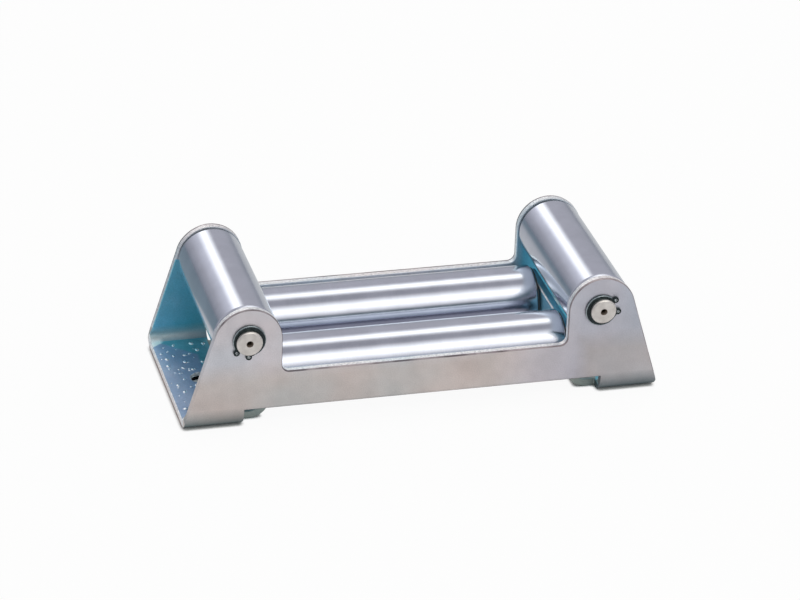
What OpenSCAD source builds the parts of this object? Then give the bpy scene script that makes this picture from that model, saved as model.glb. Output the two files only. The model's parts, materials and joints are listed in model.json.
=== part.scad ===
// Four-roller fairlead: a folded plate frame, two short rollers across its ends and two long rollers
// between its end flaps. X runs along the frame, Y across it, Z up from the mounting surface.

/* [Frame plate] */
// Length of the frame over its two feet
frame_length = 300; // [270:1:360]
// Width over the outer faces of the two long flanges
frame_width = 120; // [108:1:150]
// Thickness of the folded plate
plate_t = 5; // [4:0.5:6]
// Inside radius of the folds between the feet and the flanges
bend_inner_r = 7; // [5:0.5:9]
// Length of each foot along the frame
foot_length = 37; // [34:1:42]
// Height of the low strip's lower edge above the top of the fold
strip_step = 1; // [0.5:0.5:3]
// Height of the low strip between the two ears of a flange
strip_height = 24; // [18:1:28]
// Distance from the end of the frame to the short axles
ear_inset = 39; // [36:0.5:42]
// How far an ear stands out past the roller it carries
ear_margin = 0.5; // [0.5:0.5:4]
// Radius of the corner between an ear and the strip
ear_fillet_r = 5; // [2:0.5:8]

/* [Mounting holes] */
// Distance from the end of the frame to the bolt hole in a foot
bolt_inset = 23; // [20:0.5:25]
// Diameter of the bolt holes
bolt_hole_d = 13.5; // [9:0.5:14]

/* [End flaps] */
// Distance from the inner end of a foot to the roller side of its flap
flap_set = 18.5; // [16:0.5:20]
// Inside radius of the fold between a foot and its flap
flap_bend_inner_r = 8; // [5:0.5:9]
// Height of a flap above the axis of the long axles
flap_land = 13.5; // [12:0.5:16]
// Radius of the flap's two upper corners
flap_corner_r = 6; // [2:0.5:9]
// Slit between the side of a flap and the fold beside it
flap_relief = 0.5; // [0.5:0.5:3]

/* [Rollers] */
// Outside diameter of all four rollers
roller_d = 41; // [37:0.5:44]
// Wall of the roller tube
roller_wall = 4; // [3:0.5:5]
// Chamfer on the ends of the roller tube
roller_chamfer = 0.8; // [0.4:0.1:1.5]
// Height of the long rollers above the mounting surface
long_roller_lift = 4; // [2:0.5:6]
// Space between a long roller and the flange beside it
long_roller_side_gap = 3.5; // [2.5:0.5:5]
// Height of the short axles above the top of the long rollers
short_axle_rise = 15; // [13:0.5:18]

/* [Axles] */
// Diameter of the axles
axle_d = 16; // [12:0.5:18]
// How far an axle stands out past the plate that carries it
axle_tail = 4; // [3:0.25:5]
// Chamfer on the ends of an axle
axle_chamfer = 0.8; // [0.3:0.1:1.2]
// Mouth diameter of the lathe centre in each axle end
centre_mouth_d = 4.5; // [3:0.5:6]
// Pilot diameter of the lathe centre
centre_pilot_d = 2; // [1:0.25:2.5]
// Depth of the lathe centre
centre_depth = 5; // [4:0.5:8]

/* [Circlips] */
// Thickness of a circlip
circlip_t = 1.2; // [0.8:0.1:1.5]
// Depth of the circlip groove in the axle
groove_depth = 0.4; // [0.3:0.05:0.8]
// Radial width of a circlip opposite its gap
circlip_back_w = 3.3; // [2.5:0.1:3.6]
// Radial width of a circlip beside its gap
circlip_tip_w = 1.9; // [1.5:0.1:2.4]
// Distance of a lug hole outside the bottom of the groove
lug_reach = 2.5; // [2.5:0.1:3.4]
// Radius of a circlip lug
lug_r = 2; // [1.5:0.1:2.2]
// Diameter of the hole in a lug
lug_hole_d = 1.7; // [1.2:0.1:2]
// Angle from the middle of the gap to a lug
lug_half_angle = 24; // [20:1:32]

/* [Bushes] */
// Length of a bush inside its roller
bush_length = 22; // [12:1:35]
// Thickness of the bush flange at the end of a roller
bush_flange_t = 1.25; // [1:0.25:3]
// Width of the bush flange outside the roller bore
bush_flange_w = 2.5; // [1.5:0.25:3]

/* [Fits] */
// Radial clearance of an axle in the frame
axle_seat_clearance = 0.1; // [0.05:0.05:0.3]
// Radial running clearance of a bush on its axle
running_clearance = 0.05; // [0.02:0.01:0.1]
// Radial clearance of a bush in its roller
bush_seat_clearance = 0.02; // [0.01:0.01:0.05]
// End play of a roller at each end
end_play = 0.5; // [0.3:0.1:1]
// Space between a circlip and the plate beside it
circlip_gap = 0.2; // [0.1:0.1:0.5]
// Side clearance of a circlip in its groove
groove_clearance = 0.05; // [0.02:0.01:0.1]

/* [Hidden] */
$fn = 96;
cut = 1;
half_length = frame_length / 2;
half_width = frame_width / 2;
bend_outer_r = bend_inner_r + plate_t;
roller_r = roller_d / 2;
axle_r = axle_d / 2;

// Feet, strip and flaps along the frame
foot_x = half_length - foot_length;
bolt_x = half_length - bolt_inset;
flap_x = foot_x - flap_set;
flap_bend_outer_r = flap_bend_inner_r + plate_t;
flap_half_width = half_width - bend_outer_r - flap_relief;
strip_bottom = bend_outer_r + strip_step;
strip_top = strip_bottom + strip_height;

// Axle places
long_axle_y = half_width - plate_t - long_roller_side_gap - roller_r;
long_axle_z = long_roller_lift + roller_r;
short_axle_x = half_length - ear_inset;
short_axle_z = long_axle_z + roller_r + short_axle_rise;
ear_r = roller_r + ear_margin;
ear_top = short_axle_z + ear_r;
flap_top = long_axle_z + flap_land;

// Circlip grooves
groove_r = axle_r - groove_depth;
circlip_inner_r = groove_r + groove_clearance;
circlip_outer_r = circlip_inner_r + (circlip_back_w + circlip_tip_w) / 2;
circlip_offset = (circlip_back_w - circlip_tip_w) / 2;

// Roller places, and the names of the two ends of each roller
short_places = ["left", "right"];
long_places = ["front", "rear"];
places = concat(short_places, long_places);
function is_short(place) = place == "left" || place == "right";
function ends(place) = is_short(place) ? long_places : short_places;
function end_side(end) = end == "front" || end == "right" ? 1 : -1;

// Half the distance over the plates that carry an axle, and half the length of its roller
function seat_half(place) = is_short(place) ? half_width : flap_x + plate_t;
function roller_half(place) = seat_half(place) - plate_t - bush_flange_t - end_play;

// Direction of the gap in each circlip, seen from outside the front or from the right
function gap_angle(place, end) =
    place == "left" ? (end == "front" ? 246 : 300) :
    place == "right" ? (end == "front" ? 14 : 120) : 180;

// Moves a child from the Z axis onto the axis of a roller; +Z becomes the front or the right end
module on_axis(place) {
    side = place == "right" || place == "rear" ? 1 : -1;
    if (is_short(place))
        translate([side * short_axle_x, 0, short_axle_z]) rotate([90, 0, 0]) children();
    else
        translate([0, side * long_axle_y, long_axle_z]) rotate([0, 90, 0]) children();
}

// Turns a child made for the +Z end of a roller to the named end
module at_end(end) {
    if (end_side(end) > 0) children();
    else mirror([0, 0, 1]) children();
}

// Square-topped trough outline with two round lower corners, in Y and Z
module trough(half_w, corner_r, height) {
    translate([-half_w, corner_r]) square([2 * half_w, height - corner_r]);
    translate([corner_r - half_w, 0]) square([2 * (half_w - corner_r), corner_r]);
    for (side = [-1, 1])
        translate([side * (half_w - corner_r), corner_r]) circle(corner_r);
}

// Folded section of the frame: feet at the bottom and a flange up each side
module channel_section() {
    difference() {
        trough(half_width, bend_outer_r, ear_top + cut);
        translate([0, plate_t]) trough(half_width - plate_t, bend_inner_r, ear_top + cut);
    }
}

// Outline of the right half of a flange in X and Z: strip, foot and rounded ear
module half_flange_outline() {
    ear_x = short_axle_x - ear_r;
    // Point where the sloping end of the flange runs into the round of the ear
    run = half_length - short_axle_x;
    rise = plate_t - short_axle_z;
    touch = atan2(rise, run) + acos(ear_r / norm([run, rise]));
    translate([short_axle_x, short_axle_z]) circle(ear_r);
    polygon([
        [0, strip_bottom],
        [foot_x, strip_bottom],
        [foot_x, 0],
        [half_length, 0],
        [half_length, plate_t],
        [short_axle_x + ear_r * cos(touch), short_axle_z + ear_r * sin(touch)],
        [short_axle_x, short_axle_z],
        [ear_x, short_axle_z],
        [ear_x, strip_top],
        [0, strip_top]
    ]);
    translate([ear_x - ear_fillet_r, strip_top]) difference() {
        square([ear_fillet_r + cut, ear_fillet_r]);
        translate([0, ear_fillet_r]) circle(ear_fillet_r);
    }
}

module flange_outline() {
    half_flange_outline();
    mirror([1, 0]) half_flange_outline();
}

// Section of the right end flap in X and Z: a tongue from the foot, a fold and the upright
module flap_section() {
    fold_x = flap_x + flap_bend_outer_r;
    translate([fold_x, 0]) square([foot_x + cut - fold_x, plate_t]);
    translate([flap_x, flap_bend_outer_r]) square([plate_t, flap_top - flap_bend_outer_r]);
    translate([fold_x, flap_bend_outer_r]) intersection() {
        difference() {
            circle(flap_bend_outer_r);
            circle(flap_bend_inner_r);
        }
        translate([-flap_bend_outer_r, -flap_bend_outer_r]) square(flap_bend_outer_r);
    }
}

// Outline of an end flap in Y and Z, with round upper corners
module flap_outline() {
    corner_y = flap_half_width - flap_corner_r;
    corner_z = flap_top - flap_corner_r;
    translate([-flap_half_width, 0]) square([2 * flap_half_width, corner_z]);
    translate([-corner_y, 0]) square([2 * corner_y, flap_top]);
    for (side = [-1, 1])
        translate([side * corner_y, corner_z]) circle(flap_corner_r);
}

module flap() {
    intersection() {
        rotate([90, 0, 0]) linear_extrude(2 * flap_half_width + cut, center = true) flap_section();
        rotate([90, 0, 90]) linear_extrude(half_length) flap_outline();
    }
}

// The one-piece folded plate that everything else hangs in
module frame() {
    color("#b8b4b4") difference() {
        union() {
            intersection() {
                rotate([90, 0, 90]) linear_extrude(frame_length, center = true) channel_section();
                rotate([90, 0, 0]) linear_extrude(frame_width + cut, center = true) flange_outline();
            }
            flap();
            mirror([1, 0, 0]) flap();
        }
        for (side = [-1, 1])
            translate([side * bolt_x, 0, -cut]) cylinder(h = plate_t + 2 * cut, d = bolt_hole_d);
        for (place = places)
            on_axis(place)
                cylinder(h = 2 * seat_half(place) + 2 * cut, r = axle_r + axle_seat_clearance, center = true);
    }
}

// Roller tube with chamfered ends
module roller(place) {
    half = roller_half(place);
    bore_r = roller_r - roller_wall;
    color("#c6c6d2") on_axis(place) rotate_extrude() polygon([
        [bore_r, -half],
        [roller_r - roller_chamfer, -half],
        [roller_r, roller_chamfer - half],
        [roller_r, half - roller_chamfer],
        [roller_r - roller_chamfer, half],
        [bore_r, half]
    ]);
}

// Half of an axle's turned profile, from the middle to its +Z end
function axle_half_profile(seat, tip) = [
    [axle_r, seat + circlip_gap - groove_clearance],
    [groove_r, seat + circlip_gap - groove_clearance],
    [groove_r, seat + circlip_gap + circlip_t + groove_clearance],
    [axle_r, seat + circlip_gap + circlip_t + groove_clearance],
    [axle_r, tip - axle_chamfer],
    [axle_r - axle_chamfer, tip]
];

// Lathe centre: a pilot hole with a 60 degree mouth, cut into the end at height tip
module lathe_centre(tip) {
    pilot_r = centre_pilot_d / 2;
    mouth_r = centre_mouth_d / 2;
    rotate_extrude() polygon([
        [0, tip - centre_depth],
        [pilot_r, tip - centre_depth],
        [pilot_r, tip - (mouth_r - pilot_r) / tan(30)],
        [mouth_r, tip],
        [mouth_r, tip + cut],
        [0, tip + cut]
    ]);
}

// Plain axle with a circlip groove and a lathe centre at each end
module axle(place) {
    seat = seat_half(place);
    tip = seat + axle_tail;
    upper = axle_half_profile(seat, tip);
    lower = [for (i = [len(upper) - 1 : -1 : 0]) [upper[i][0], -upper[i][1]]];
    color("#b4afa8") on_axis(place) difference() {
        rotate_extrude() polygon(concat([[0, -tip]], lower, upper, [[0, tip]]));
        for (end = ends(place))
            at_end(end) lathe_centre(tip);
    }
}

// Flanged plain bush, pushed into the end of a roller and running on the axle
module bush(place, end) {
    half = roller_half(place);
    bore_r = axle_r + running_clearance;
    barrel_r = roller_r - roller_wall - bush_seat_clearance;
    flange_r = roller_r - roller_wall + bush_flange_w;
    color("#3b3e42") on_axis(place) at_end(end) rotate_extrude() polygon([
        [bore_r, half - bush_length],
        [barrel_r, half - bush_length],
        [barrel_r, half],
        [flange_r, half],
        [flange_r, half + bush_flange_t],
        [bore_r, half + bush_flange_t]
    ]);
}

// Outline of an external circlip with its gap on +X: a ring that narrows towards two pierced lugs
module circlip_outline() {
    lug_radius = groove_r + lug_reach;
    difference() {
        union() {
            difference() {
                translate([-circlip_offset, 0]) circle(circlip_outer_r);
                polygon([
                    [0, 0],
                    2 * lug_radius * [cos(lug_half_angle), sin(lug_half_angle)],
                    2 * lug_radius * [cos(lug_half_angle), -sin(lug_half_angle)]
                ]);
            }
            for (side = [-1, 1])
                rotate(side * lug_half_angle) translate([lug_radius, 0]) circle(lug_r);
        }
        circle(circlip_inner_r);
        for (side = [-1, 1])
            rotate(side * lug_half_angle) translate([lug_radius, 0]) circle(d = lug_hole_d);
    }
}

// Spring ring in the axle's groove, just outside the plate
module circlip(place, end) {
    color("#1d2124") on_axis(place) at_end(end)
        translate([0, 0, seat_half(place) + circlip_gap])
            rotate(gap_angle(place, end)) linear_extrude(circlip_t) circlip_outline();
}

frame();
for (place = places) {
    roller(place);
    axle(place);
    for (end = ends(place)) {
        bush(place, end);
        circlip(place, end);
    }
}
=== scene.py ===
import json
import random
from math import acos, atan2, cos, hypot, pi, radians, sin, tan

import bmesh
import bpy
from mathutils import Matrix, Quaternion, Vector

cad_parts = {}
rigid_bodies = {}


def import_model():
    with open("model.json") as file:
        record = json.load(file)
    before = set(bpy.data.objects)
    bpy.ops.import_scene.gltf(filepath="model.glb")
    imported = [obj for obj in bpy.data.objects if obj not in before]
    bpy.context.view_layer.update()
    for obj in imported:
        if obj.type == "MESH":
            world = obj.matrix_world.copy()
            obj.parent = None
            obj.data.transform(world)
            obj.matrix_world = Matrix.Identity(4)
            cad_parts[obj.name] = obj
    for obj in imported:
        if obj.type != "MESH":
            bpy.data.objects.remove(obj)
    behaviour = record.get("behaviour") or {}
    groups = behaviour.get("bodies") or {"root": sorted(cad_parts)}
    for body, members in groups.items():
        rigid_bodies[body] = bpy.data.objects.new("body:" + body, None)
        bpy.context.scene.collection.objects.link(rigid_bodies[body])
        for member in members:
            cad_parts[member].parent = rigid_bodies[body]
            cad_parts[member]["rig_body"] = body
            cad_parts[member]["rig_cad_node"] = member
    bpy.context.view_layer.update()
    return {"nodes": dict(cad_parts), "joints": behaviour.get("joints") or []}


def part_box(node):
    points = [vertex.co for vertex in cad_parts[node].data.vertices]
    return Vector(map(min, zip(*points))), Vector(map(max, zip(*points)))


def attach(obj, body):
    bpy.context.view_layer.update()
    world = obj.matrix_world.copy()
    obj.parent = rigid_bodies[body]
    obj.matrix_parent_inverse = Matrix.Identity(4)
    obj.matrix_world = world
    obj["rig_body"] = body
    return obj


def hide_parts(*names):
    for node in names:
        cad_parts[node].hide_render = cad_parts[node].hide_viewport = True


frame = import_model()
mm = 0.001
tiny = 0.01 * mm
axleAt = {joint["child"]: Vector(joint["pos_m"]) for joint in frame["joints"]}
axleAlong = {joint["child"]: Vector(joint["axis"]) for joint in frame["joints"]}
shortAxle = axleAt["right_roller"]
print("frame loaded with", len(frame["nodes"]), "nodes")

# Camera, as the photo was taken
shot = {
    "azimuth": radians(-15.41),
    "elevation": radians(27.37),
    "roll": radians(2.13),
    "distance": 2.2156,
    "target": Vector((1.94, 12.36, 40.16)) * mm,
    "lens": 159.05,
    "sensor": 36,
    "nearest": 0.01,
}


def lookFrom(azimuth, elevation):
    return Vector((sin(azimuth) * cos(elevation), -cos(azimuth) * cos(elevation), sin(elevation)))


def placeCamera():
    back = lookFrom(shot["azimuth"], shot["elevation"])
    bpy.ops.object.camera_add(location=shot["target"] + back * shot["distance"])
    camera = bpy.context.object
    camera.rotation_mode = "QUATERNION"
    level = (-back).to_track_quat("-Z", "Y")
    camera.rotation_quaternion = level @ Quaternion((0, 0, 1), shot["roll"])
    camera.data.lens = shot["lens"]
    camera.data.sensor_width = shot["sensor"]
    camera.data.clip_start = shot["nearest"]
    bpy.context.scene.camera = camera


# Material helpers
def put(tree, kind, sockets=None, **settings):
    node = tree.nodes.new("ShaderNode" + kind)
    for name, value in settings.items():
        setattr(node, name, value)
    for name, value in (sockets or {}).items():
        if isinstance(value, bpy.types.NodeSocket):
            tree.links.new(value, node.inputs[name])
        else:
            node.inputs[name].default_value = value
    return node


def noise(tree, place, scale, detail=3, rough=0.5):
    sockets = {"Vector": place, "Scale": scale, "Detail": detail, "Roughness": rough}
    return put(tree, "TexNoise", sockets).outputs[0]


def maths(tree, kind, first, second=0.0):
    return put(tree, "Math", {0: first, 1: second}, operation=kind).outputs[0]


def rescale(tree, value, low, high, outLow, outHigh):
    sockets = {0: value, 1: low, 2: high, 3: outLow, 4: outHigh}
    return put(tree, "MapRange", sockets).outputs[0]


def rise(tree, value, start, full):
    return rescale(tree, value, start, full, 0.0, 1.0)


def fall(tree, value, full, end):
    return rescale(tree, value, full, end, 1.0, 0.0)


def spread(tree, pattern, low, high):
    # Nearly all of a noise pattern lies between 0.3 and 0.7
    return rescale(tree, pattern, 0.3, 0.7, low, high)


def mixed(tree, share, first, second, blend="MIX"):
    sockets = {0: share, 6: first, 7: second}
    return put(tree, "Mix", sockets, data_type="RGBA", blend_type=blend).outputs[2]


def between(tree, value, low, high):
    over = maths(tree, "GREATER_THAN", value, low)
    return maths(tree, "MULTIPLY", over, maths(tree, "LESS_THAN", value, high))


def allOf(tree, *shares):
    total = shares[0]
    for share in shares[1:]:
        total = maths(tree, "MULTIPLY", total, share)
    return total


def distance(tree, first, second, third=0.0):
    apart = put(tree, "CombineXYZ", {0: first, 1: second, 2: third}).outputs[0]
    return put(tree, "VectorMath", {0: apart}, operation="LENGTH").outputs["Value"]


def ramp(tree, value, stops):
    node = put(tree, "ValToRGB", {0: value})
    points = node.color_ramp.elements
    while len(points) < len(stops):
        points.new(0.5)
    for point, (place, colour) in zip(points, stops):
        point.position = place
        point.color = (*colour, 1)
    return node.outputs[0]


def bump(tree, height, depth, under=None):
    sockets = {"Height": height, "Strength": 1.0, "Distance": depth}
    if under:
        sockets["Normal"] = under
    return put(tree, "Bump", sockets).outputs[0]


def newFinish(name, metallic):
    material = bpy.data.materials.new(name)
    material.use_nodes = True
    tree = material.node_tree
    shader = tree.nodes["Principled BSDF"]
    shader.inputs["Metallic"].default_value = metallic
    place = put(tree, "TexCoord").outputs["Object"]
    return material, tree, shader, place


def finishWith(tree, shader, colour, rough, normal):
    tree.links.new(colour, shader.inputs["Base Color"])
    tree.links.new(rough, shader.inputs["Roughness"])
    tree.links.new(normal, shader.inputs["Normal"])


def wear(piece, *materials):
    piece.data.materials.clear()
    for material in materials:
        piece.data.materials.append(material)


# Folded frame plate
plate = {
    "thickness": 5 * mm,
    "footLength": 37 * mm,
    "foldRadius": 12 * mm,        # outside of the folds under the flanges
    "stripLow": 13 * mm,
    "stripHigh": 37 * mm,
    "earRadius": 21 * mm,
    "earFillet": 5 * mm,
    "flapSet": 18.5 * mm,         # from the end of a foot in to the roller side of its flap
    "flapFold": 13 * mm,          # outside radius of the fold below a flap
    "flapTop": 38 * mm,
    "flapHalfWidth": 47.5 * mm,
    "flapCorner": 6 * mm,
    "boltInset": 23 * mm,
    "boltRadius": 6.75 * mm,
    "axleHoleRadius": 8.1 * mm,
    "boltDrill": 40 * mm,         # lengths of the drills, clear of the plate at both ends
    "axleDrill": 260 * mm,
    "rounding": 0.55 * mm,        # of all edges
    "roundSteps": 3,
    "crease": radians(32),        # a bend sharper than this is an edge
    "flat": radians(0.5),         # and one flatter than this is none
    "foldSteps": 14,
    "cornerSteps": 24,
    "cornerShare": 0.9998,        # a round corner stops just short of the next one
    "cornerFind": 0.1 * mm,
    "holeSides": 96,
}
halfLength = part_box("frame")[1].x
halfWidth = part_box("frame")[1].y
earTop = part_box("frame")[1].z
footX = halfLength - plate["footLength"]
flapX = footX - plate["flapSet"]
foldY = halfWidth - plate["foldRadius"]
earX = shortAxle.x - plate["earRadius"]
boltX = halfLength - plate["boltInset"]


# Finishes
plateFinish = {
    "outside": [(0.32, (0.60, 0.545, 0.53)), (0.5, (0.65, 0.59, 0.575)), (0.68, (0.69, 0.63, 0.615))],
    "bayShade": [(0.32, (0.18, 0.53, 0.67)), (0.5, (0.22, 0.57, 0.72)), (0.68, (0.28, 0.61, 0.76))],
    "paleInside": [(0.32, (0.56, 0.59, 0.65)), (0.5, (0.62, 0.65, 0.71)), (0.68, (0.68, 0.71, 0.77))],
    "foldInside": [(0.32, (0.40, 0.47, 0.50)), (0.5, (0.46, 0.53, 0.55)), (0.68, (0.53, 0.58, 0.60))],
    "footTop": [(0.32, (0.31, 0.41, 0.58)), (0.5, (0.37, 0.47, 0.645)), (0.68, (0.445, 0.535, 0.695))],
    "footShade": [(0.32, (0.16, 0.46, 0.55)), (0.5, (0.21, 0.52, 0.61)), (0.68, (0.28, 0.58, 0.67))],
    "tongue": [(0.32, (0.27, 0.31, 0.30)), (0.5, (0.34, 0.38, 0.36)), (0.68, (0.42, 0.45, 0.43))],
    "edge": [(0.34, (0.58, 0.585, 0.61)), (0.5, (0.80, 0.80, 0.82)), (0.66, (0.95, 0.95, 0.96))],
    "outlineShade": [(0.38, (0.17, 0.145, 0.16)), (0.62, (0.44, 0.39, 0.41))],   # painted shade: a dark line along the outer corner of an edge
    "bloom": [(0.35, (0.92, 1.0, 1.03)), (0.5, (1.0, 1.0, 1.0)), (0.65, (1.04, 0.98, 0.96))],
    "bloomShare": 0.8,
    "cloud": (42, 4, 0.55),              # noise patterns: scale per metre, detail and roughness
    "bloomNoise": (16, 2),
    "outlineShadeNoise": (60, 3),
    "crust": (620, 4, 0.65),
    "crustDepth": 0.25 * mm,
    "grain": (1500, 2),
    "grainTone": (0.92, 1.07),
    "grainDepth": 0.02 * mm,
    "dents": (260, 3),
    "dentDepth": 0.05 * mm,
    "dull": (110, 4, 0.6),
    "rough": (0.42, 0.56),
    "holeRough": 0.9,
    "rightShade": (0.80, 0.845, 0.90, 1),     # painted shade: the plate is darker and greyer towards the right
    "rightShadeStart": 55 * mm,
    "rightShadeFull": 100 * mm,
    "earTone": (1.06, 1.12, 1.22, 1),    # bluer on the ears and on the right end of the strip
    "earStart": 32 * mm,
    "earFull": 46 * mm,
    "stripStart": 40 * mm,
    "stripFull": 70 * mm,
    "stripFade": 95 * mm,
    "stripEnd": 105 * mm,
    "foldShade": (0.215, 0.31, 0.335, 1),   # painted shade: darker on the folds, which face the floor
    "foldStart": 15 * mm,
    "foldFull": 3 * mm,
    "curveFull": 0.6 * plate["foldRadius"],
    "curveEnd": 1.2 * plate["foldRadius"],
    "tongueFrom": 0.8 * plate["flapHalfWidth"],
    "insideFace": 55.4 * mm,             # how far out the inner faces of the flanges lie
    "outerFace": 59.7 * mm,
    "outlineShadeFrom": 58.5 * mm,
    "outlineShadeTo": 59.97 * mm,
    "footLow": 4.6 * mm,
    "footHigh": 5.4 * mm,
    "edgeLow": 12.8 * mm,
    "shadeSlope": 0.93,                  # the foot is darker below the short roller and along the fold
    "shadeStart": -86.4 * mm,
    "shadeFull": -83.4 * mm,
    "shadeNear": 122.5 * mm,
    "shadeFar": 124.5 * mm,
    "cornerHighlight": (0.96, 0.97, 0.96, 1),   # painted highlight: the end of the fold is nearly white
    "paleSlope": 0.73,
    "paleStart": 152.3 * mm,
    "paleFull": 153.7 * mm,
    "paleFrom": 141 * mm,
    "paleTo": 144 * mm,
    "paleLow": 1.1 * plate["thickness"],
    "paleHigh": 1.4 * plate["thickness"],
    "footEndShade": (0.33, 0.265, 0.26, 1),   # painted shade: the end face of the foot is browner low down
    "endShade": 2.4 * mm,
    "plainSlopeFrom": -127 * mm,             # the left slope of the front ear has no painted bright edge and no painted outline
    "plainSlopeTo": -133 * mm,
    "holeLowShade": (0.03, 0.03, 0.03, 1),   # painted shade: the lower half of the bolt holes is nearly black
    "holeDark": 2.6 * mm,
    "lip": 0.9 * mm,                     # width of a bright edge
    "bayStart": 88 * mm,                 # painted shade: deep blue in the bays under the short rollers
    "bayFull": 95 * mm,
    "rimStart": 17.5 * mm,               # and not close to the rim of an ear
    "rimFull": 19.5 * mm,
}


def platedSteel():
    material, tree, shader, place = newFinish("zinc plated plate", 1.0)
    axes = put(tree, "SeparateXYZ", {0: place}).outputs
    along = maths(tree, "ABSOLUTE", axes[0])
    across = maths(tree, "ABSOLUTE", axes[1])
    height = axes[2]
    cloud = noise(tree, place, *plateFinish["cloud"])
    lip = plateFinish["lip"]

    # Outside
    fold = allOf(tree, fall(tree, height, plateFinish["foldFull"], plateFinish["foldStart"]),
                 maths(tree, "GREATER_THAN", across, foldY),
                 maths(tree, "LESS_THAN", along, halfLength - 0.5 * lip))
    outer = ramp(tree, cloud, plateFinish["outside"])
    # Painted shade towards the right
    rightShade = rise(tree, axes[0], plateFinish["rightShadeStart"], plateFinish["rightShadeFull"])
    outer = mixed(tree, rightShade, outer, plateFinish["rightShade"], "MULTIPLY")
    onEar = rise(tree, height, plateFinish["earStart"], plateFinish["earFull"])
    onStrip = allOf(tree, rise(tree, axes[0], plateFinish["stripStart"], plateFinish["stripFull"]),
                    fall(tree, axes[0], plateFinish["stripFade"], plateFinish["stripEnd"]),
                    maths(tree, "SUBTRACT", 1.0, fold))
    cool = maths(tree, "MAXIMUM", onEar, onStrip)
    outer = mixed(tree, cool, outer, plateFinish["earTone"], "MULTIPLY")
    # Painted shade on the folds below the flanges
    outer = mixed(tree, fold, outer, plateFinish["foldShade"], "MULTIPLY")

    # Inside: painted reflection and painted shade, bluer than the outside
    reach = distance(tree, maths(tree, "SUBTRACT", along, shortAxle.x), 0.0,
                     maths(tree, "SUBTRACT", height, shortAxle.z))
    rim = allOf(tree, rise(tree, reach, plateFinish["rimStart"], plateFinish["rimFull"]),
                maths(tree, "GREATER_THAN", height, shortAxle.z))
    # Painted shade in the bays under the short rollers
    bay = rise(tree, along, plateFinish["bayStart"], plateFinish["bayFull"])
    deep = allOf(tree, bay, maths(tree, "SUBTRACT", 1.0, rim))
    inner = mixed(tree, deep, ramp(tree, cloud, plateFinish["paleInside"]),
                  ramp(tree, cloud, plateFinish["bayShade"]))
    curve = allOf(tree, maths(tree, "GREATER_THAN", across, foldY),
                  fall(tree, height, plateFinish["curveFull"], plateFinish["curveEnd"]))
    inner = mixed(tree, curve, inner, ramp(tree, cloud, plateFinish["foldInside"]))
    # Painted reflection: the top of the foot is lilac-blue
    low = maths(tree, "LESS_THAN", height, plateFinish["footHigh"])
    inner = mixed(tree, low, inner, ramp(tree, cloud, plateFinish["footTop"]))
    shade = maths(tree, "SUBTRACT", across, maths(tree, "MULTIPLY", along, plateFinish["shadeSlope"]))
    shade = rise(tree, shade, plateFinish["shadeStart"], plateFinish["shadeFull"])
    nearFlap = fall(tree, along, plateFinish["shadeNear"], plateFinish["shadeFar"])
    shade = allOf(tree, low, maths(tree, "MAXIMUM", shade, nearFlap))
    inner = mixed(tree, shade, inner, ramp(tree, cloud, plateFinish["footShade"]))
    # Painted highlight at the end of the fold
    pale = maths(tree, "ADD", axes[1], maths(tree, "MULTIPLY", along, plateFinish["paleSlope"]))
    pale = allOf(tree, rise(tree, pale, plateFinish["paleStart"], plateFinish["paleFull"]),
                 rise(tree, along, plateFinish["paleFrom"], plateFinish["paleTo"]),
                 fall(tree, height, plateFinish["paleLow"], plateFinish["paleHigh"]))
    inner = mixed(tree, pale, inner, plateFinish["cornerHighlight"])
    within = maths(tree, "LESS_THAN", across, plateFinish["insideFace"])
    above = maths(tree, "GREATER_THAN", height, plateFinish["footLow"])
    colour = mixed(tree, allOf(tree, within, above), outer, inner)

    # Painted shade: the folds below the end flaps lie in the shade and are painted dark
    under = maths(tree, "LESS_THAN", along, flapX + plate["flapFold"])
    for share in (maths(tree, "LESS_THAN", height, plateFinish["footLow"]),
                  maths(tree, "GREATER_THAN", across, plateFinish["tongueFrom"])):
        under = maths(tree, "MAXIMUM", under, share)
    inFold = allOf(tree, under, maths(tree, "LESS_THAN", along, footX + lip),
                   maths(tree, "LESS_THAN", height, plate["flapFold"]),
                   maths(tree, "LESS_THAN", across, plate["flapHalfWidth"] + lip))
    colour = mixed(tree, inFold, colour, ramp(tree, cloud, plateFinish["tongue"]))

    # Sheared edges, partly painted highlight: between the faces of a flange, at the end of a foot, on a
    # flap and in the bolt holes
    plain = allOf(tree, fall(tree, axes[0], plateFinish["plainSlopeTo"], plateFinish["plainSlopeFrom"]),
                  maths(tree, "LESS_THAN", axes[1], 0.0))
    crisp = allOf(tree, maths(tree, "SUBTRACT", 1.0, plain),
                  maths(tree, "GREATER_THAN", height, plateFinish["edgeLow"]))
    flange = allOf(tree, between(tree, across, plateFinish["insideFace"], plateFinish["outerFace"]), crisp)
    footEnd = allOf(tree, maths(tree, "GREATER_THAN", along, halfLength - lip),
                    maths(tree, "LESS_THAN", across, plateFinish["insideFace"]))
    flapEdge = allOf(tree, between(tree, along, flapX - lip, flapX + lip),
                     maths(tree, "GREATER_THAN", height, plate["flapTop"] - lip),
                     maths(tree, "LESS_THAN", across, plate["flapHalfWidth"]))
    fromBolt = distance(tree, maths(tree, "SUBTRACT", along, boltX), axes[1])
    hole = maths(tree, "LESS_THAN", fromBolt, plate["boltRadius"] + 0.5 * lip)
    edge = flange
    for share in (footEnd, flapEdge, hole):
        edge = maths(tree, "MAXIMUM", edge, share)
    crust = noise(tree, place, *plateFinish["crust"])
    colour = mixed(tree, edge, colour, ramp(tree, crust, plateFinish["edge"]))
    # Painted shade on the lower part of the end face of the foot
    endLow = allOf(tree, footEnd, maths(tree, "LESS_THAN", height, plateFinish["endShade"]))
    colour = mixed(tree, endLow, colour, plateFinish["footEndShade"])
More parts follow.
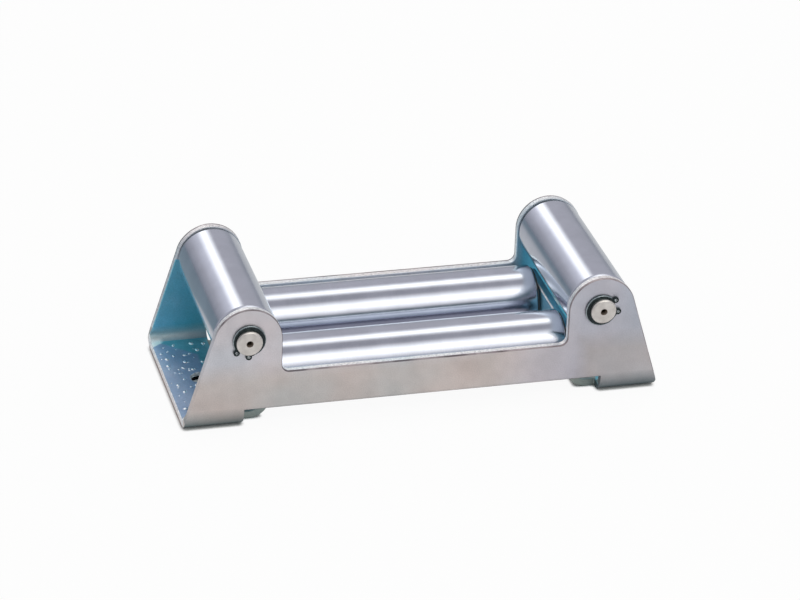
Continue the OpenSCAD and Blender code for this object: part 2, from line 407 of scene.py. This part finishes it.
    # Painted shade: a dark outline along the outer corners of the flanges
    outlineShade = allOf(tree, between(tree, across, plateFinish["outlineShadeFrom"], plateFinish["outlineShadeTo"]), crisp)
    outlineShadeTone = ramp(tree, noise(tree, place, *plateFinish["outlineShadeNoise"]), plateFinish["outlineShade"])
    colour = mixed(tree, outlineShade, colour, outlineShadeTone)
    # Painted shade in the lower half of the bolt holes
    deepHole = allOf(tree, hole, maths(tree, "LESS_THAN", height, plateFinish["holeDark"]))
    colour = mixed(tree, deepHole, colour, plateFinish["holeLowShade"])

    bloom = ramp(tree, noise(tree, place, *plateFinish["bloomNoise"]), plateFinish["bloom"])
    colour = mixed(tree, plateFinish["bloomShare"], colour, bloom, "MULTIPLY")
    grain = noise(tree, place, *plateFinish["grain"])
    colour = mixed(tree, 1.0, colour, spread(tree, grain, *plateFinish["grainTone"]), "MULTIPLY")
    rough = spread(tree, noise(tree, place, *plateFinish["dull"]), *plateFinish["rough"])
    rough = maths(tree, "MAXIMUM", rough, maths(tree, "MULTIPLY", hole, plateFinish["holeRough"]))
    normal = bump(tree, noise(tree, place, *plateFinish["dents"]), plateFinish["dentDepth"])
    normal = bump(tree, grain, plateFinish["grainDepth"], normal)
    normal = bump(tree, maths(tree, "MULTIPLY", crust, edge), plateFinish["crustDepth"], normal)
    finishWith(tree, shader, colour, rough, normal)
    return material


def clouded(name, metallic, tone, look):
    # A finish whose tone, roughness and bump all follow one cloudy pattern
    material, tree, shader, place = newFinish(name, metallic)
    cloud = noise(tree, place, *look["cloud"])
    rough = spread(tree, cloud, *look["rough"])
    finishWith(tree, shader, ramp(tree, cloud, tone), rough, bump(tree, cloud, look["depth"]))
    return material


beadFinish = {
    "tone": [(0.35, (0.74, 0.76, 0.80)), (0.65, (0.88, 0.89, 0.92))],
    "cloud": (900, 3),
    "rough": (0.20, 0.32),
    "depth": 0.03 * mm,
}
clipFinish = {
    "black": [(0.35, (0.020, 0.026, 0.028)), (0.65, (0.036, 0.046, 0.050))],
    "wornSheen": [(0.35, (0.24, 0.28, 0.30)), (0.65, (0.40, 0.44, 0.47))],
    "holeLight": [(0.35, (0.86, 0.86, 0.84)), (0.65, (0.96, 0.96, 0.95))],
    "cloud": (900, 3),
    "rough": (0.16, 0.26),
    "depth": 0.01 * mm,
}
bushFinish = {
    "tone": [(0.35, (0.035, 0.04, 0.045)), (0.65, (0.06, 0.066, 0.072))],
    "cloud": (700, 3),
    "rough": (0.45, 0.6),
    "depth": 0.02 * mm,
}


def lineNoise(tree, value, scale):
    sockets = {"W": value, "Scale": scale, "Detail": 2.0}
    return put(tree, "TexNoise", sockets, noise_dimensions="1D").outputs[0]


rollerFinish = {
    "tone": [(0.3, (0.42, 0.43, 0.50)), (0.5, (0.45, 0.46, 0.535)), (0.7, (0.48, 0.49, 0.57))],
    "cloud": (55, 4, 0.55),
    "rough": (0.15, 0.18),
    "lines": 2600.0,     # turned lines, per metre along the roller
    "lineTone": (0.96, 1.04),
    "lineDepth": 0.001 * mm,
}


def turnedZinc(name, axis):
    material, tree, shader, place = newFinish(name, 1.0)
    lines = lineNoise(tree, put(tree, "SeparateXYZ", {0: place}).outputs[axis], rollerFinish["lines"])
    cloud = noise(tree, place, *rollerFinish["cloud"])
    colour = ramp(tree, cloud, rollerFinish["tone"])
    colour = mixed(tree, 1.0, colour, spread(tree, lines, *rollerFinish["lineTone"]), "MULTIPLY")
    rough = spread(tree, cloud, *rollerFinish["rough"])
    finishWith(tree, shader, colour, rough, bump(tree, lines, rollerFinish["lineDepth"]))
    return material


axleFinish = {
    "tone": [(0.3, (0.60, 0.56, 0.54)), (0.5, (0.68, 0.64, 0.615)), (0.7, (0.75, 0.71, 0.685))],
    "cloud": (240, 4, 0.6),
    "rough": (0.40, 0.52),
    "centreShade": (0.30, 0.26, 0.23, 1),
    "centreShare": 0.95,     # of the mouth of a lathe centre
    "rings": 2200.0,         # facing marks, per metre of radius
    "ringDepth": 0.01 * mm,
}


def turnedSteel(name, centre, axis):
    material, tree, shader, place = newFinish(name, 1.0)
    keep = Vector((1, 1, 1)) - axis
    centred = put(tree, "Mapping", {"Vector": place, "Location": -centre}, vector_type="POINT").outputs[0]
    flat = put(tree, "VectorMath", {0: centred, 1: keep}, operation="MULTIPLY").outputs[0]
    radius = put(tree, "VectorMath", {0: flat}, operation="LENGTH").outputs["Value"]
    rings = lineNoise(tree, radius, axleFinish["rings"])
    colour = ramp(tree, noise(tree, place, *axleFinish["cloud"]), axleFinish["tone"])
    # Painted shade in the mouth of the lathe centre
    centreHole = maths(tree, "LESS_THAN", radius, axleFinish["centreShare"] * axleBar["mouth"])
    colour = mixed(tree, centreHole, colour, axleFinish["centreShade"], "MULTIPLY")
    rough = spread(tree, rings, *axleFinish["rough"])
    finishWith(tree, shader, colour, rough, bump(tree, rings, axleFinish["ringDepth"]))
    return material


# Light and floor
studio = {
    "skyLight": (0.95, 0.97, 1.0, 1),
    "skyStrength": 0.64,
    "floorColour": (0.87, 0.86, 0.85, 1),
    "floorGlow": 0.94,
    "floorShine": 0.35,          # metal also sees the shadow under the object
    "windowGlow": 0.9,          # painted light: the floor glows brighter to metal under the gap between the long rollers
    "windowLength": 95 * mm,
    "windowWidth": 25 * mm,
    "behindShade": (0.36, 0.45, 0.50, 1),   # painted shade: the floor behind is darker to metal, mostly on the left
    "behindStart": 80 * mm,
    "behindFull": 130 * mm,
    "behindLeft": -150 * mm,
    "behindLeast": 0.3,
    "floorSize": 12,
    "floorDrop": 0.05 * mm,
    "contactReach": 3 * mm,      # of the shadow close round the feet
    "contactSamples": 8,
    "contactDark": 0.45,
    "contactClear": 0.85,
    "holeShade": 18 * mm,
    "lampDistance": 4.0,
    "lamps": [
        # name, azimuth, elevation, width, height, power
        ("front lamp", 22, 48, 4.8, 3.7, 139),
        ("top lamp", 142, 64, 2.8, 2.1, 57),
        ("back lamp", 186, 30, 1.6, 2.0, 24),
    ],
    "lampLight": (0.985, 1.0, 0.90),
    "lampFade": 0.5,             # share of a lamp's width over which it fades out at each side
    "domeRadius": 6.0,
    "domeSegments": 96,
    "domeRings": 48,
    "frontStart": -0.4,          # shares of the radius, from the middle out to the front
    "frontFull": -0.8,
    "domeTwice": (1.95, 2.15, 2.0, 1),   # how much brighter the dome is to light that met metal twice
    "glowTone": (0.50, 0.52, 0.55, 1),   # a soft patch beside the back lamp
    "glowAt": (197, 30),
    "glowWidth": 20,
    "domeFront": [(0.0, (0.06, 0.12, 0.14)), (0.36, (0.08, 0.14, 0.16)), (0.47, (0.70, 0.70, 0.72)),
                  (0.79, (0.72, 0.72, 0.74)), (0.96, (0.56, 0.56, 0.58))],
    "domeRound": [(0.0, (0.36, 0.39, 0.43)), (0.20, (0.62, 0.63, 0.66)), (0.47, (0.72, 0.72, 0.74)),
                  (0.79, (0.74, 0.74, 0.76)), (0.96, (0.56, 0.56, 0.58))],
}


def seenWhite(tree, direct, mirrored):
    # How white the background is to the camera, and to rays off metal or through glass
    rays = put(tree, "LightPath").outputs
    bounced = maths(tree, "MAXIMUM", rays["Is Glossy Ray"], rays["Is Transmission Ray"])
    return maths(tree, "MAXIMUM", maths(tree, "MULTIPLY", rays["Is Camera Ray"], direct),
                 maths(tree, "MULTIPLY", bounced, mirrored))


def hangLamps():
    world = bpy.data.worlds.new("studio")
    bpy.context.scene.world = world
    world.use_nodes = True
    tree = world.node_tree
    tree.nodes.clear()
    soft = put(tree, "Background", {"Color": studio["skyLight"], "Strength": studio["skyStrength"]})
    white = put(tree, "Background", {"Color": (1, 1, 1, 1), "Strength": 1.0})
    blend = put(tree, "MixShader", {0: seenWhite(tree, 1.0, 1.0), 1: soft.outputs[0], 2: white.outputs[0]})
    put(tree, "OutputWorld", {"Surface": blend.outputs[0]})
    for name, azimuth, elevation, width, height, power in studio["lamps"]:
        toLamp = lookFrom(radians(azimuth), radians(elevation))
        bpy.ops.object.light_add(type="AREA", location=toLamp * studio["lampDistance"])
        lamp = bpy.context.object
        lamp.name = name
        lamp.rotation_mode = "QUATERNION"
        lamp.rotation_quaternion = (-toLamp).to_track_quat("-Z", "Y")
        lamp.data.shape = "RECTANGLE"
        lamp.data.size = width
        lamp.data.size_y = height
        lamp.data.energy = power
        lamp.data.color = studio["lampLight"]
        lamp.data.use_nodes = True
        tree = lamp.data.node_tree
        axes = put(tree, "SeparateXYZ", {0: put(tree, "NewGeometry").outputs["Parametric"]}).outputs
        fades = []
        for i in range(2):
            fromSide = maths(tree, "MINIMUM", axes[i], maths(tree, "SUBTRACT", 1.0, axes[i]))
            fades.append(rise(tree, fromSide, 0.0, studio["lampFade"]))
        tree.links.new(allOf(tree, *fades), tree.nodes["Emission"].inputs["Strength"])
        lamp.visible_camera = False


def paleFloor():
    bpy.ops.mesh.primitive_plane_add(size=studio["floorSize"], location=(0, 0, -studio["floorDrop"]))
    floor = bpy.context.object
    floor.name = "floor"
    material = bpy.data.materials.new("pale floor")
    material.use_nodes = True
    tree = material.node_tree
    tree.nodes.clear()
    matt = put(tree, "BsdfDiffuse", {"Color": studio["floorColour"]})
    glow = put(tree, "Emission", {"Color": (1, 1, 1, 1), "Strength": 1.0})
    # No glow under the bolt holes, where the floor lies in the shade of the feet
    axes = put(tree, "SeparateXYZ", {0: put(tree, "TexCoord").outputs["Object"]}).outputs
    fromBolt = distance(tree, maths(tree, "SUBTRACT", maths(tree, "ABSOLUTE", axes[0]), boltX), axes[1])
    clear = maths(tree, "GREATER_THAN", fromBolt, studio["holeShade"])
    # Painted light: a brighter patch of floor under the gap between the long rollers
    window = allOf(tree, maths(tree, "LESS_THAN", maths(tree, "ABSOLUTE", axes[0]), studio["windowLength"]),
                   maths(tree, "LESS_THAN", maths(tree, "ABSOLUTE", axes[1]), studio["windowWidth"]))
    shine = rescale(tree, window, 0.0, 1.0, studio["floorShine"], studio["windowGlow"])
    # Painted shade: the floor behind is darker to metal
    behind = allOf(tree, put(tree, "LightPath").outputs["Is Glossy Ray"],
                   rise(tree, axes[1], studio["behindStart"], studio["behindFull"]),
                   rescale(tree, axes[0], studio["behindLeft"], 0.0, 1.0, studio["behindLeast"]))
    tree.links.new(mixed(tree, behind, studio["floorColour"], studio["behindShade"]), matt.inputs["Color"])
    shine = maths(tree, "MULTIPLY", shine, maths(tree, "SUBTRACT", 1.0, behind))
    sockets = {"Distance": studio["contactReach"]}
    contact = put(tree, "AmbientOcclusion", sockets, samples=studio["contactSamples"]).outputs["AO"]
    contact = rise(tree, contact, studio["contactDark"], studio["contactClear"])
    share = allOf(tree, seenWhite(tree, studio["floorGlow"], shine), clear, contact)
    blend = put(tree, "MixShader", {0: share, 1: matt.outputs[0], 2: glow.outputs[0]})
    put(tree, "OutputMaterial", {"Surface": blend.outputs[0]})
    wear(floor, material)
    return floor


def greyDome():
    # Dark low down, and seen only by the metal
    radius = studio["domeRadius"]
    bpy.ops.mesh.primitive_uv_sphere_add(segments=studio["domeSegments"], ring_count=studio["domeRings"],
                                         radius=radius)
    dome = bpy.context.object
    dome.name = "dome"
    edit(dome)
    bpy.ops.mesh.select_all(action="SELECT")
    bpy.ops.mesh.bisect(plane_co=(0, 0, 0), plane_no=(0, 0, 1), clear_inner=True)
    deselect()
    for rays in ("camera", "diffuse", "shadow", "transmission", "volume_scatter"):
        setattr(dome, "visible_" + rays, False)
    material = bpy.data.materials.new("grey dome")
    material.use_nodes = True
    tree = material.node_tree
    tree.nodes.clear()
    axes = put(tree, "SeparateXYZ", {0: put(tree, "TexCoord").outputs["Object"]}).outputs
    share = maths(tree, "DIVIDE", axes[2], radius)
    front = rise(tree, axes[1], studio["frontStart"] * radius, studio["frontFull"] * radius)
    tone = mixed(tree, front, ramp(tree, share, studio["domeRound"]),
                 ramp(tree, share, studio["domeFront"]))
    patch = lookFrom(radians(studio["glowAt"][0]), radians(studio["glowAt"][1])) * radius
    fromPatch = distance(tree, *[maths(tree, "SUBTRACT", axes[i], patch[i]) for i in range(3)])
    share = fall(tree, fromPatch, 0.0, radius * radians(studio["glowWidth"]))
    tone = mixed(tree, share, tone, studio["glowTone"], "ADD")
    twice = rise(tree, put(tree, "LightPath").outputs["Ray Depth"], 1.0, 2.0)
    tone = mixed(tree, twice, tone, studio["domeTwice"], "MULTIPLY")
    glow = put(tree, "Emission", {"Color": tone, "Strength": 1.0})
    put(tree, "OutputMaterial", {"Surface": glow.outputs[0]})
    wear(dome, material)
    return dome


def lightStage():
    hangLamps()
    paleFloor()
    greyDome()
    bpy.context.scene.view_settings.view_transform = "Standard"


# Modelling helpers
def deselect():
    if bpy.context.mode != "OBJECT":
        bpy.ops.object.mode_set(mode="OBJECT")
    bpy.ops.object.select_all(action="DESELECT")


def edit(piece):
    deselect()
    piece.select_set(True)
    bpy.context.view_layer.objects.active = piece
    bpy.ops.object.mode_set(mode="EDIT")


def pick(piece, kind, test):
    # Selects the corners or edges whose points all pass the test
    bpy.ops.mesh.select_mode(type=kind)
    bpy.ops.mesh.select_all(action="DESELECT")
    mesh = bmesh.from_edit_mesh(piece.data)
    for item in mesh.verts if kind == "VERT" else mesh.edges:
        points = [item.co] if kind == "VERT" else [vert.co for vert in item.verts]
        if all(test(point) for point in points):
            item.select_set(True)
    bmesh.update_edit_mesh(piece.data)


def near(value, goal):
    return abs(value - goal) < tiny


def pull(x, y, z):
    bpy.ops.mesh.extrude_region_move(TRANSFORM_OT_translate={"value": (x, y, z)})


def weld():
    bpy.ops.mesh.select_all(action="SELECT")
    bpy.ops.mesh.remove_doubles(threshold=tiny)


def modify(piece, kind, **settings):
    deselect()
    piece.select_set(True)
    bpy.context.view_layer.objects.active = piece
    modifier = piece.modifiers.new(kind.lower(), kind)
    for name, value in settings.items():
        setattr(modifier, name, value)
    bpy.ops.object.modifier_apply(modifier=modifier.name)


def soften(piece, look):
    # Rounds the sharp edges and keeps the flats flat
    modify(piece, "BEVEL", width=look["rounding"], segments=look["roundSteps"], limit_method="ANGLE",
           angle_limit=look["crease"], use_clamp_overlap=False, miter_outer="MITER_ARC")
    bpy.ops.object.shade_smooth_by_angle(angle=look["crease"])
    modify(piece, "WEIGHTED_NORMAL", keep_sharp=True, weight=50)


def install(piece, body, slot, *nodes):
    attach(piece, body)
    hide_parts(*nodes)


def quarterSheet():
    # Outer skin of the front right quarter: foot, fold, flange with its ear, and half an end flap
    deselect()
    bpy.ops.mesh.primitive_plane_add(size=1)
    sheet = bpy.context.object
    sheet.name = "folded_frame"
    bpy.ops.object.mode_set(mode="EDIT")
    bpy.ops.transform.resize(value=(plate["footLength"], foldY, 1))
    bpy.ops.transform.translate(value=(footX + plate["footLength"] / 2, -foldY / 2, 0))
    bpy.ops.mesh.bisect(plane_co=(0, -plate["flapHalfWidth"], 0), plane_no=(0, 1, 0))

    pick(sheet, "EDGE", lambda p: near(p.y, -foldY))
    bpy.ops.mesh.spin(steps=plate["foldSteps"], angle=pi / 2, axis=(1, 0, 0),
                      center=(0, -foldY, plate["foldRadius"]))
    pull(0, 0, plate["stripLow"] - plate["foldRadius"])
    pull(0, 0, plate["stripHigh"] - plate["stripLow"])
    pull(0, 0, earTop - plate["stripHigh"])

    def onInnerSide(p, low, high):
        return near(p.x, footX) and low - tiny < p.z < high + tiny

    pick(sheet, "EDGE", lambda p: onInnerSide(p, plate["stripLow"], plate["stripHigh"]))
    pull(earX - footX, 0, 0)
    pull(-earX, 0, 0)
    pick(sheet, "EDGE", lambda p: onInnerSide(p, plate["stripHigh"], earTop))
    pull(earX - footX, 0, 0)
    weld()

    # The end of the flange slopes up from the foot to touch the round of the ear
    run = halfLength - shortAxle.x
    drop = plate["thickness"] - shortAxle.z
    touch = atan2(drop, run) + acos(plate["earRadius"] / hypot(run, drop))
    bpy.ops.mesh.bisect(plane_co=(halfLength, 0, plate["thickness"]),
                        plane_no=(cos(touch), 0, sin(touch)), clear_outer=True)

    def belowFlap(p):
        return near(p.x, footX) and near(p.z, 0) and p.y > -plate["flapHalfWidth"] - tiny

    pick(sheet, "EDGE", belowFlap)
    pull(plate["flapFold"] - plate["flapSet"], 0, 0)
    bpy.ops.mesh.spin(steps=plate["foldSteps"], angle=-pi / 2, axis=(0, 1, 0),
                      center=(flapX + plate["flapFold"], 0, plate["flapFold"]))
    pull(0, 0, plate["flapTop"] - plate["flapFold"])
    weld()
    bpy.ops.mesh.dissolve_limited(angle_limit=plate["flat"])

    slopeX = halfLength - (earTop - plate["thickness"]) * tan(touch)
    slopeRun = plate["earRadius"] * tan((pi / 2 - touch) / 2)
    roundCorner(sheet, (earX, -halfWidth, earTop), plate["earRadius"])
    roundCorner(sheet, (slopeX, -halfWidth, earTop), slopeRun)
    roundCorner(sheet, (earX, -halfWidth, plate["stripHigh"]), plate["earFillet"])
    roundCorner(sheet, (flapX, -plate["flapHalfWidth"], plate["flapTop"]), plate["flapCorner"])
    return sheet


def roundCorner(sheet, corner, reach):
    pick(sheet, "VERT", lambda p: (p - Vector(corner)).length < plate["cornerFind"])
    bpy.ops.mesh.bevel(offset=reach * plate["cornerShare"], segments=plate["cornerSteps"],
                       affect="VERTICES")


def drillBit(centre, axis, radius, length):
    turn = Vector(axis).to_track_quat("Z", "Y").to_euler()
    bpy.ops.mesh.primitive_cylinder_add(vertices=plate["holeSides"], radius=radius, depth=length,
                                        location=centre, rotation=turn)
    return bpy.context.object


def foldedFrame():
    sheet = quarterSheet()
    modify(sheet, "MIRROR", use_axis=(True, True, False), use_mirror_merge=True, merge_threshold=tiny)
    edit(sheet)
    weld()
    bpy.ops.mesh.dissolve_limited(angle_limit=plate["flat"])
    bpy.ops.mesh.normals_make_consistent(inside=False)
    bpy.ops.object.mode_set(mode="OBJECT")
    foot = min(sheet.data.polygons, key=lambda face: face.center.z)
    if foot.normal.z > 0:
        edit(sheet)
        bpy.ops.mesh.select_all(action="SELECT")
        bpy.ops.mesh.flip_normals()
    modify(sheet, "SOLIDIFY", thickness=plate["thickness"], offset=-1, use_even_offset=True)

    deselect()
    bits = []
    for side in (-1, 1):
        bits.append(drillBit((side * boltX, 0, 0), (0, 0, 1), plate["boltRadius"], plate["boltDrill"]))
    for body in axleAt:
        bits.append(drillBit(axleAt[body], axleAlong[body], plate["axleHoleRadius"], plate["axleDrill"]))
    deselect()
    for bit in bits:
        bit.select_set(True)
    bpy.context.view_layer.objects.active = bits[0]
    bpy.ops.object.join()
    drill = bpy.context.object
    modify(sheet, "BOOLEAN", operation="DIFFERENCE", solver="EXACT", object=drill)
    bpy.data.objects.remove(drill)
    soften(sheet, plate)
    return sheet


# Beads of zinc that froze on the feet
beads = {
    "count": 70,              # on each foot
    "seed": 11,
    "small": 0.4 * mm,
    "large": 1.25 * mm,
    "height": 0.42,           # shares of a bead's size
    "longest": 1.6,
    "sunk": -0.2,
    "flapRoom": 3 * mm,
    "endRoom": 2.5 * mm,
    "foldShare": 0.94,
    "holeRoom": 10 * mm,
    "segments": 18,
    "rings": 10,
    "crease": radians(50),
}


def zincBeads():
    draw = random.Random(beads["seed"])
    deselect()
    bpy.ops.mesh.primitive_uv_sphere_add(segments=beads["segments"], ring_count=beads["rings"], radius=1)
    first = bpy.context.object
    edit(first)
    bpy.ops.mesh.select_all(action="SELECT")
    bpy.ops.mesh.bisect(plane_co=(0, 0, beads["sunk"]), plane_no=(0, 0, 1), clear_inner=True, use_fill=True)
    deselect()
    made = []
    while len(made) < 2 * beads["count"]:
        side = -1 if len(made) < beads["count"] else 1
        x = side * draw.uniform(footX + beads["flapRoom"], halfLength - beads["endRoom"])
        y = draw.uniform(-foldY, foldY) * beads["foldShare"]
        size = beads["small"] + (beads["large"] - beads["small"]) * draw.random() ** 2
        stretch = draw.uniform(1.0, beads["longest"])
        turn = draw.uniform(0, pi)
        if hypot(x - side * boltX, y) < beads["holeRoom"]:
            continue
        bead = first.copy()
        bead.data = first.data.copy()
        bpy.context.collection.objects.link(bead)
        bead.location = (x, y, plate["thickness"])
        bead.rotation_euler = (0, 0, turn)
        bead.scale = (size * stretch, size, size * beads["height"])
        made.append(bead)
    bpy.data.objects.remove(first)
    for bead in made:
        bead.select_set(True)
    bpy.context.view_layer.objects.active = made[0]
    bpy.ops.object.join()
    piece = bpy.context.object
    piece.name = "zinc_beads"
    bpy.ops.object.transform_apply(location=True, rotation=True, scale=True)
    bpy.ops.object.shade_smooth_by_angle(angle=beads["crease"])
    return piece


# Turned pieces
def turned(name, centre, along, steps, look):
    # Draws a ring out along the axis from step to step of (radius, place)
    deselect()
    radius, place = steps[0]
    turn = along.to_track_quat("Z", "Y").to_euler()
    bpy.ops.mesh.primitive_circle_add(vertices=look["sides"], radius=radius, rotation=turn,
                                      location=centre + along * place)
    piece = bpy.context.object
    piece.name = name
    bpy.ops.object.transform_apply(location=True, rotation=True, scale=True)
    edit(piece)
    bpy.ops.mesh.select_all(action="SELECT")
    for nextRadius, nextPlace in steps[1:]:
        bpy.ops.mesh.extrude_edges_move(TRANSFORM_OT_translate={"value": along * (nextPlace - place)})
        grow = nextRadius / radius
        bpy.ops.transform.resize(value=(grow, grow, grow), center_override=centre + along * nextPlace)
        radius, place = nextRadius, nextPlace
    weld()
    bpy.ops.mesh.fill_holes(sides=0)
    bpy.ops.mesh.select_all(action="SELECT")
    bpy.ops.mesh.normals_make_consistent(inside=False)
    deselect()
    soften(piece, look)
    return piece


rollerTube = {
    "wall": 4 * mm,
    "chamfer": 0.8 * mm,
    "sides": 160,
    "rounding": 0.18 * mm,
    "roundSteps": 2,
    "crease": radians(28),
}


def rollerPiece(place):
    low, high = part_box("roller_" + place)
    body = place + "_roller"
    along = axleAlong[body]
    half = (high - low).dot(along) / 2
    radius = (high.z - low.z) / 2
    bore = radius - rollerTube["wall"]
    rim = radius - rollerTube["chamfer"]
    shoulder = half - rollerTube["chamfer"]
    steps = [(bore, -half), (rim, -half), (radius, -shoulder),
             (radius, shoulder), (rim, half), (bore, half), (bore, -half)]
    return turned("turned_roller_" + place, axleAt[body], along, steps, rollerTube)


axleBar = {
    "chamfer": 0.8 * mm,
    "grooveDepth": 0.4 * mm,
    "grooveFrom": 2.5 * mm,     # from the tip in to the outer side of the groove
    "grooveTo": 3.9 * mm,
    "mouth": 2.25 * mm,
    "pilot": 1.0 * mm,
    "pilotDepth": 5 * mm,
    "coneAngle": radians(30),   # from the axis to the side of a lathe centre
    "sides": 96,
    "rounding": 0.12 * mm,
    "roundSteps": 2,
    "crease": radians(28),
}


def axlePiece(place):
    low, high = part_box("axle_" + place)
    body = place + "_roller"
    along = axleAlong[body]
    tip = (high - low).dot(along) / 2
    radius = (high.z - low.z) / 2
    coneDepth = (axleBar["mouth"] - axleBar["pilot"]) / tan(axleBar["coneAngle"])
    groove = radius - axleBar["grooveDepth"]
    end = [
        (axleBar["pilot"], tip - axleBar["pilotDepth"]),
        (axleBar["pilot"], tip - coneDepth),
        (axleBar["mouth"], tip),
        (radius - axleBar["chamfer"], tip),
        (radius, tip - axleBar["chamfer"]),
        (radius, tip - axleBar["grooveFrom"]),
        (groove, tip - axleBar["grooveFrom"]),
        (groove, tip - axleBar["grooveTo"]),
        (radius, tip - axleBar["grooveTo"]),
    ]
    steps = [(r, -at) for r, at in end] + end[::-1]
    return turned("turned_axle_" + place, axleAt[body], along, steps, axleBar)


# Circlips, with their stamped edges broken
clip = {
    "rounding": 0.12 * mm,
    "roundSteps": 2,
    "crease": radians(40),
    "flat": radians(1),
    "rimRounding": 0.5 * mm,      # on the outer rim of the ring, worn bright and partly a painted highlight
    "rimSteps": 4,
    "rimFrom": 9.2 * mm,
    "ringReach": 11.2 * mm,       # only the lugs stand further out than this
    "lugAngle": radians(24),      # from the middle of the gap to a lug
    "lugOut": 10.1 * mm,
    "lugHoleReach": 0.89 * mm,    # takes in the wall of a lug's hole
    "lugRoom": radians(40),
}


# The places of the finishes on a circlip
clipTones = ("black", "wornSheen", "holeLight")
wornSheenFinish = clipTones.index("wornSheen")
holeLightFinish = clipTones.index("holeLight")


def clipPiece(node, *finishes):
    deselect()
    source = frame["nodes"][node]
    source.select_set(True)
    bpy.context.view_layer.objects.active = source
    bpy.ops.object.duplicate()
    piece = bpy.context.object
    piece.name = "spring_" + node
    piece.parent = None
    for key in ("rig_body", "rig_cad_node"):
        del piece[key]
    wear(piece, *finishes)
    edit(piece)
    weld()
    bpy.ops.mesh.dissolve_limited(angle_limit=clip["flat"])
    deselect()

    # The middle of the gap lies between the lugs
    body = node.split("_")[1] + "_roller"
    along = axleAlong[body]
    points = [vert.co - axleAt[body] for vert in piece.data.vertices]
    face = max((point.dot(along) for point in points), key=abs)
    flat = [point - along * point.dot(along) for point in points]
    gap = sum((point for point in flat if point.length > clip["ringReach"]), Vector()).normalized()
    lugs = []
    for turn in (-clip["lugAngle"], clip["lugAngle"]):
        lugs.append(Quaternion(along, turn) @ gap * clip["lugOut"])

    def onRim(point):
        out = point - axleAt[body]
        if not near(out.dot(along), face):
            return False
        out -= along * out.dot(along)
        return out.length > clip["rimFrom"] and out.angle(gap) > clip["lugRoom"]

    def inHole(point):
        out = point - axleAt[body]
        out -= along * out.dot(along)
        return any((out - lug).length < clip["lugHoleReach"] for lug in lugs)

    # Painted light: the walls of the lug holes are near white, as if light showed through
    for wall in piece.data.polygons:
        if all(inHole(piece.data.vertices[corner].co) for corner in wall.vertices):
            wall.material_index = holeLightFinish
    edit(piece)
    # The worn rim is partly a painted highlight
    pick(piece, "EDGE", onRim)
    bpy.ops.mesh.bevel(offset=clip["rimRounding"], segments=clip["rimSteps"], affect="EDGES",
                       material=wornSheenFinish)
    deselect()
    soften(piece, clip)
    return piece


placeCamera()
lightStage()
print("camera, light and floor placed")

sheetZinc = platedSteel()
framePlate = foldedFrame()
wear(framePlate, sheetZinc)
install(framePlate, "frame_body", "zinc_plate", "frame")
beadPiece = zincBeads()
wear(beadPiece, clouded("frozen zinc", 1.0, beadFinish["tone"], beadFinish))
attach(beadPiece, "frame_body")
print("folded frame made with", len(framePlate.data.polygons), "faces")

rollerZinc = {"left": turnedZinc("turned zinc across", 1), "front": turnedZinc("turned zinc along", 0)}
rollerZinc["right"] = rollerZinc["left"]
rollerZinc["rear"] = rollerZinc["front"]
for place in ("left", "right", "front", "rear"):
    body = place + "_roller"
    roller = rollerPiece(place)
    wear(roller, rollerZinc[place])
    install(roller, body, "zinc_roller", "roller_" + place)
    axle = axlePiece(place)
    wear(axle, turnedSteel("turned steel " + place, axleAt[body], axleAlong[body]))
    install(axle, "frame_body", "axle_steel", "axle_" + place)
print("rollers and axles made")

clipFinishes = []
for tone in clipTones:
    clipFinishes.append(clouded(tone + " spring steel", 1.0, clipFinish[tone], clipFinish))
nylon = clouded("dark nylon", 0.0, bushFinish["tone"], bushFinish)
for node in sorted(frame["nodes"]):
    if node.startswith("circlip_"):
        install(clipPiece(node, *clipFinishes), "frame_body", "circlip_black", node)
    if node.startswith("bush_"):
        wear(frame["nodes"][node], nylon)
print("circlips and bushes finished")
